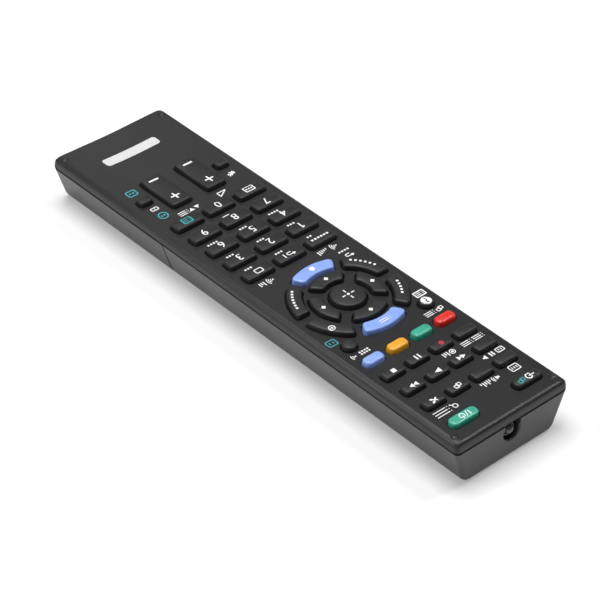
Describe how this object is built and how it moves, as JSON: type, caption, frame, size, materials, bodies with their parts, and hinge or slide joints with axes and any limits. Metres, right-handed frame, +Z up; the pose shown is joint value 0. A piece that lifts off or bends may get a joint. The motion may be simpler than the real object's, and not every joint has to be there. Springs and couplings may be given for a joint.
{
  "type": "tv remote control",
  "caption": "Slim TV remote control with separate travelling keys, a round navigation pad, volume and programme rockers, and a battery cover that slides off the end.",
  "frame": {"origin": "middle of the flat underside", "axes": "+Y along the length towards the infrared end, +X to the right of a person who holds it with that end pointing away, +Z up out of the keys"},
  "size_m": [0.05, 0.207, 0.0206],
  "materials": {
    "case_plastic": "fine matte texture",
    "mat_rubber": "matte",
    "key_rubber_black": "satin",
    "key_rubber_red": "satin",
    "key_rubber_green": "satin",
    "key_rubber_yellow": "satin",
    "key_rubber_blue": "satin",
    "key_rubber_violet_blue": "satin",
    "board_laminate": "satin solder mask",
    "component_plastic": "moulded",
    "led_epoxy": "polished",
    "cell_can": "satin label",
    "plated_spring_steel": "nickel plated"
  },
  "bodies": {
    "case": {"upper_case": "case_plastic", "lower_case": "case_plastic", "keypad_mat": "mat_rubber", "circuit_board": "board_laminate", "board_components": "component_plastic", "ir_led": "led_epoxy", "aaa_batteries": "cell_can", "battery_springs": "plated_spring_steel", "contact_plates": "plated_spring_steel"},
    "battery_cover": {"battery_cover": "case_plastic"},
    "key_input": {"key_input": "key_rubber_black"},
    "key_power": {"key_power": "key_rubber_green"},
    "key_screen_format": {"key_screen_format": "key_rubber_black"},
    "key_audio": {"key_audio": "key_rubber_black"},
    "key_depth_view": {"key_depth_view": "key_rubber_black"},
    "key_search": {"key_search": "key_rubber_black"},
    "key_pause_live": {"key_pause_live": "key_rubber_black"},
    "key_rewind": {"key_rewind": "key_rubber_black"},
    "key_play": {"key_play": "key_rubber_black"},
    "key_fast_forward": {"key_fast_forward": "key_rubber_black"},
    "key_title_list": {"key_title_list": "key_rubber_black"},
    "key_record": {"key_record": "key_rubber_black"},
    "key_pause": {"key_pause": "key_rubber_black"},
    "key_stop": {"key_stop": "key_rubber_black"},
    "key_red": {"key_red": "key_rubber_red"},
    "key_green": {"key_green": "key_rubber_green"},
    "key_yellow": {"key_yellow": "key_rubber_yellow"},
    "key_blue": {"key_blue": "key_rubber_blue"},
    "key_help": {"key_help": "key_rubber_black"},
    "key_settings": {"key_settings": "key_rubber_black"},
    "key_ok": {"key_ok": "key_rubber_black"},
    "key_digital": {"key_digital": "key_rubber_black"},
    "key_exit": {"key_exit": "key_rubber_black"},
    "key_tv_radio": {"key_tv_radio": "key_rubber_black"},
    "key_1": {"key_1": "key_rubber_black"},
    "key_2": {"key_2": "key_rubber_black"},
    "key_3": {"key_3": "key_rubber_black"},
    "key_4": {"key_4": "key_rubber_black"},
    "key_5": {"key_5": "key_rubber_black"},
    "key_6": {"key_6": "key_rubber_black"},
    "key_7": {"key_7": "key_rubber_black"},
    "key_8": {"key_8": "key_rubber_black"},
    "key_9": {"key_9": "key_rubber_black"},
    "key_subtitle": {"key_subtitle": "key_rubber_black"},
    "key_0": {"key_0": "key_rubber_black"},
    "key_text": {"key_text": "key_rubber_black"},
    "key_mute": {"key_mute": "key_rubber_black"},
    "key_media": {"key_media": "key_rubber_black"},
    "key_right": {"key_right": "key_rubber_black"},
    "key_up": {"key_up": "key_rubber_black"},
    "key_left": {"key_left": "key_rubber_black"},
    "key_down": {"key_down": "key_rubber_black"},
    "key_wide_view": {"key_wide_view": "key_rubber_black"},
    "key_menu": {"key_menu": "key_rubber_violet_blue"},
    "key_guide": {"key_guide": "key_rubber_black"},
    "key_return": {"key_return": "key_rubber_black"},
    "key_home": {"key_home": "key_rubber_violet_blue"},
    "key_options": {"key_options": "key_rubber_black"},
    "key_volume": {"key_volume": "key_rubber_black"},
    "key_programme": {"key_programme": "key_rubber_black"}
  },
  "joints": [
    {"name": "battery_cover_slide", "type": "slide", "parent": "case", "child": "battery_cover", "axis": [0, -1, 0], "range_m": [0, 0.066]},
    {"name": "key_input_press", "type": "slide", "parent": "case", "child": "key_input", "axis": [0, 0, -1], "range_m": [0, 0.0008], "stiffness_N_per_m": 1000, "springref_m": -0.0005},
    {"name": "key_power_press", "type": "slide", "parent": "case", "child": "key_power", "axis": [0, 0, -1], "range_m": [0, 0.0008], "stiffness_N_per_m": 1000, "springref_m": -0.0005},
    {"name": "key_screen_format_press", "type": "slide", "parent": "case", "child": "key_screen_format", "axis": [0, 0, -1], "range_m": [0, 0.0008], "stiffness_N_per_m": 1000, "springref_m": -0.0005},
    {"name": "key_audio_press", "type": "slide", "parent": "case", "child": "key_audio", "axis": [0, 0, -1], "range_m": [0, 0.0008], "stiffness_N_per_m": 1000, "springref_m": -0.0005},
    {"name": "key_depth_view_press", "type": "slide", "parent": "case", "child": "key_depth_view", "axis": [0, 0, -1], "range_m": [0, 0.0008], "stiffness_N_per_m": 1000, "springref_m": -0.0005},
    {"name": "key_search_press", "type": "slide", "parent": "case", "child": "key_search", "axis": [0, 0, -1], "range_m": [0, 0.0008], "stiffness_N_per_m": 1000, "springref_m": -0.0005},
    {"name": "key_pause_live_press", "type": "slide", "parent": "case", "child": "key_pause_live", "axis": [0, 0, -1], "range_m": [0, 0.0008], "stiffness_N_per_m": 1000, "springref_m": -0.0005},
    {"name": "key_rewind_press", "type": "slide", "parent": "case", "child": "key_rewind", "axis": [0, 0, -1], "range_m": [0, 0.0008], "stiffness_N_per_m": 1000, "springref_m": -0.0005},
    {"name": "key_play_press", "type": "slide", "parent": "case", "child": "key_play", "axis": [0, 0, -1], "range_m": [0, 0.0008], "stiffness_N_per_m": 1000, "springref_m": -0.0005},
    {"name": "key_fast_forward_press", "type": "slide", "parent": "case", "child": "key_fast_forward", "axis": [0, 0, -1], "range_m": [0, 0.0008], "stiffness_N_per_m": 1000, "springref_m": -0.0005},
    {"name": "key_title_list_press", "type": "slide", "parent": "case", "child": "key_title_list", "axis": [0, 0, -1], "range_m": [0, 0.0008], "stiffness_N_per_m": 1000, "springref_m": -0.0005},
    {"name": "key_record_press", "type": "slide", "parent": "case", "child": "key_record", "axis": [0, 0, -1], "range_m": [0, 0.0008], "stiffness_N_per_m": 1000, "springref_m": -0.0005},
    {"name": "key_pause_press", "type": "slide", "parent": "case", "child": "key_pause", "axis": [0, 0, -1], "range_m": [0, 0.0008], "stiffness_N_per_m": 1000, "springref_m": -0.0005},
    {"name": "key_stop_press", "type": "slide", "parent": "case", "child": "key_stop", "axis": [0, 0, -1], "range_m": [0, 0.0008], "stiffness_N_per_m": 1000, "springref_m": -0.0005},
    {"name": "key_red_press", "type": "slide", "parent": "case", "child": "key_red", "axis": [0, 0, -1], "range_m": [0, 0.0008], "stiffness_N_per_m": 1000, "springref_m": -0.0005},
    {"name": "key_green_press", "type": "slide", "parent": "case", "child": "key_green", "axis": [0, 0, -1], "range_m": [0, 0.0008], "stiffness_N_per_m": 1000, "springref_m": -0.0005},
    {"name": "key_yellow_press", "type": "slide", "parent": "case", "child": "key_yellow", "axis": [0, 0, -1], "range_m": [0, 0.0008], "stiffness_N_per_m": 1000, "springref_m": -0.0005},
    {"name": "key_blue_press", "type": "slide", "parent": "case", "child": "key_blue", "axis": [0, 0, -1], "range_m": [0, 0.0008], "stiffness_N_per_m": 1000, "springref_m": -0.0005},
    {"name": "key_help_press", "type": "slide", "parent": "case", "child": "key_help", "axis": [0, 0, -1], "range_m": [0, 0.0008], "stiffness_N_per_m": 1000, "springref_m": -0.0005},
    {"name": "key_settings_press", "type": "slide", "parent": "case", "child": "key_settings", "axis": [0, 0, -1], "range_m": [0, 0.0008], "stiffness_N_per_m": 1000, "springref_m": -0.0005},
    {"name": "key_ok_press", "type": "slide", "parent": "case", "child": "key_ok", "axis": [0, 0, -1], "range_m": [0, 0.0008], "stiffness_N_per_m": 1000, "springref_m": -0.0005},
    {"name": "key_digital_press", "type": "slide", "parent": "case", "child": "key_digital", "axis": [0, 0, -1], "range_m": [0, 0.0008], "stiffness_N_per_m": 1000, "springref_m": -0.0005},
    {"name": "key_exit_press", "type": "slide", "parent": "case", "child": "key_exit", "axis": [0, 0, -1], "range_m": [0, 0.0008], "stiffness_N_per_m": 1000, "springref_m": -0.0005},
    {"name": "key_tv_radio_press", "type": "slide", "parent": "case", "child": "key_tv_radio", "axis": [0, 0, -1], "range_m": [0, 0.0008], "stiffness_N_per_m": 1000, "springref_m": -0.0005},
    {"name": "key_1_press", "type": "slide", "parent": "case", "child": "key_1", "axis": [0, 0, -1], "range_m": [0, 0.0008], "stiffness_N_per_m": 1000, "springref_m": -0.0005},
    {"name": "key_2_press", "type": "slide", "parent": "case", "child": "key_2", "axis": [0, 0, -1], "range_m": [0, 0.0008], "stiffness_N_per_m": 1000, "springref_m": -0.0005},
    {"name": "key_3_press", "type": "slide", "parent": "case", "child": "key_3", "axis": [0, 0, -1], "range_m": [0, 0.0008], "stiffness_N_per_m": 1000, "springref_m": -0.0005},
    {"name": "key_4_press", "type": "slide", "parent": "case", "child": "key_4", "axis": [0, 0, -1], "range_m": [0, 0.0008], "stiffness_N_per_m": 1000, "springref_m": -0.0005},
    {"name": "key_5_press", "type": "slide", "parent": "case", "child": "key_5", "axis": [0, 0, -1], "range_m": [0, 0.0008], "stiffness_N_per_m": 1000, "springref_m": -0.0005},
    {"name": "key_6_press", "type": "slide", "parent": "case", "child": "key_6", "axis": [0, 0, -1], "range_m": [0, 0.0008], "stiffness_N_per_m": 1000, "springref_m": -0.0005},
    {"name": "key_7_press", "type": "slide", "parent": "case", "child": "key_7", "axis": [0, 0, -1], "range_m": [0, 0.0008], "stiffness_N_per_m": 1000, "springref_m": -0.0005},
    {"name": "key_8_press", "type": "slide", "parent": "case", "child": "key_8", "axis": [0, 0, -1], "range_m": [0, 0.0008], "stiffness_N_per_m": 1000, "springref_m": -0.0005},
    {"name": "key_9_press", "type": "slide", "parent": "case", "child": "key_9", "axis": [0, 0, -1], "range_m": [0, 0.0008], "stiffness_N_per_m": 1000, "springref_m": -0.0005},
    {"name": "key_subtitle_press", "type": "slide", "parent": "case", "child": "key_subtitle", "axis": [0, 0, -1], "range_m": [0, 0.0008], "stiffness_N_per_m": 1000, "springref_m": -0.0005},
    {"name": "key_0_press", "type": "slide", "parent": "case", "child": "key_0", "axis": [0, 0, -1], "range_m": [0, 0.0008], "stiffness_N_per_m": 1000, "springref_m": -0.0005},
    {"name": "key_text_press", "type": "slide", "parent": "case", "child": "key_text", "axis": [0, 0, -1], "range_m": [0, 0.0008], "stiffness_N_per_m": 1000, "springref_m": -0.0005},
    {"name": "key_mute_press", "type": "slide", "parent": "case", "child": "key_mute", "axis": [0, 0, -1], "range_m": [0, 0.0008], "stiffness_N_per_m": 1000, "springref_m": -0.0005},
    {"name": "key_media_press", "type": "slide", "parent": "case", "child": "key_media", "axis": [0, 0, -1], "range_m": [0, 0.0008], "stiffness_N_per_m": 1000, "springref_m": -0.0005},
    {"name": "key_right_press", "type": "slide", "parent": "case", "child": "key_right", "axis": [0, 0, -1], "range_m": [0, 0.0008], "stiffness_N_per_m": 1000, "springref_m": -0.0005},
    {"name": "key_up_press", "type": "slide", "parent": "case", "child": "key_up", "axis": [0, 0, -1], "range_m": [0, 0.0008], "stiffness_N_per_m": 1000, "springref_m": -0.0005},
    {"name": "key_left_press", "type": "slide", "parent": "case", "child": "key_left", "axis": [0, 0, -1], "range_m": [0, 0.0008], "stiffness_N_per_m": 1000, "springref_m": -0.0005},
    {"name": "key_down_press", "type": "slide", "parent": "case", "child": "key_down", "axis": [0, 0, -1], "range_m": [0, 0.0008], "stiffness_N_per_m": 1000, "springref_m": -0.0005},
    {"name": "key_wide_view_press", "type": "slide", "parent": "case", "child": "key_wide_view", "axis": [0, 0, -1], "range_m": [0, 0.0008], "stiffness_N_per_m": 1000, "springref_m": -0.0005},
    {"name": "key_menu_press", "type": "slide", "parent": "case", "child": "key_menu", "axis": [0, 0, -1], "range_m": [0, 0.0008], "stiffness_N_per_m": 1000, "springref_m": -0.0005},
    {"name": "key_guide_press", "type": "slide", "parent": "case", "child": "key_guide", "axis": [0, 0, -1], "range_m": [0, 0.0008], "stiffness_N_per_m": 1000, "springref_m": -0.0005},
    {"name": "key_return_press", "type": "slide", "parent": "case", "child": "key_return", "axis": [0, 0, -1], "range_m": [0, 0.0008], "stiffness_N_per_m": 1000, "springref_m": -0.0005},
    {"name": "key_home_press", "type": "slide", "parent": "case", "child": "key_home", "axis": [0, 0, -1], "range_m": [0, 0.0008], "stiffness_N_per_m": 1000, "springref_m": -0.0005},
    {"name": "key_options_press", "type": "slide", "parent": "case", "child": "key_options", "axis": [0, 0, -1], "range_m": [0, 0.0008], "stiffness_N_per_m": 1000, "springref_m": -0.0005},
    {"name": "key_volume_rock", "type": "hinge", "parent": "case", "child": "key_volume", "pos_m": [-0.00775, -0.0603, 0.0153], "axis": [1, 0, 0], "range_deg": [-3.5, 3.5], "stiffness_Nm_per_rad": 0.13},
    {"name": "key_programme_rock", "type": "hinge", "parent": "case", "child": "key_programme", "pos_m": [0.00775, -0.0603, 0.0153], "axis": [1, 0, 0], "range_deg": [-3.5, 3.5], "stiffness_Nm_per_rad": 0.13}
  ]
}
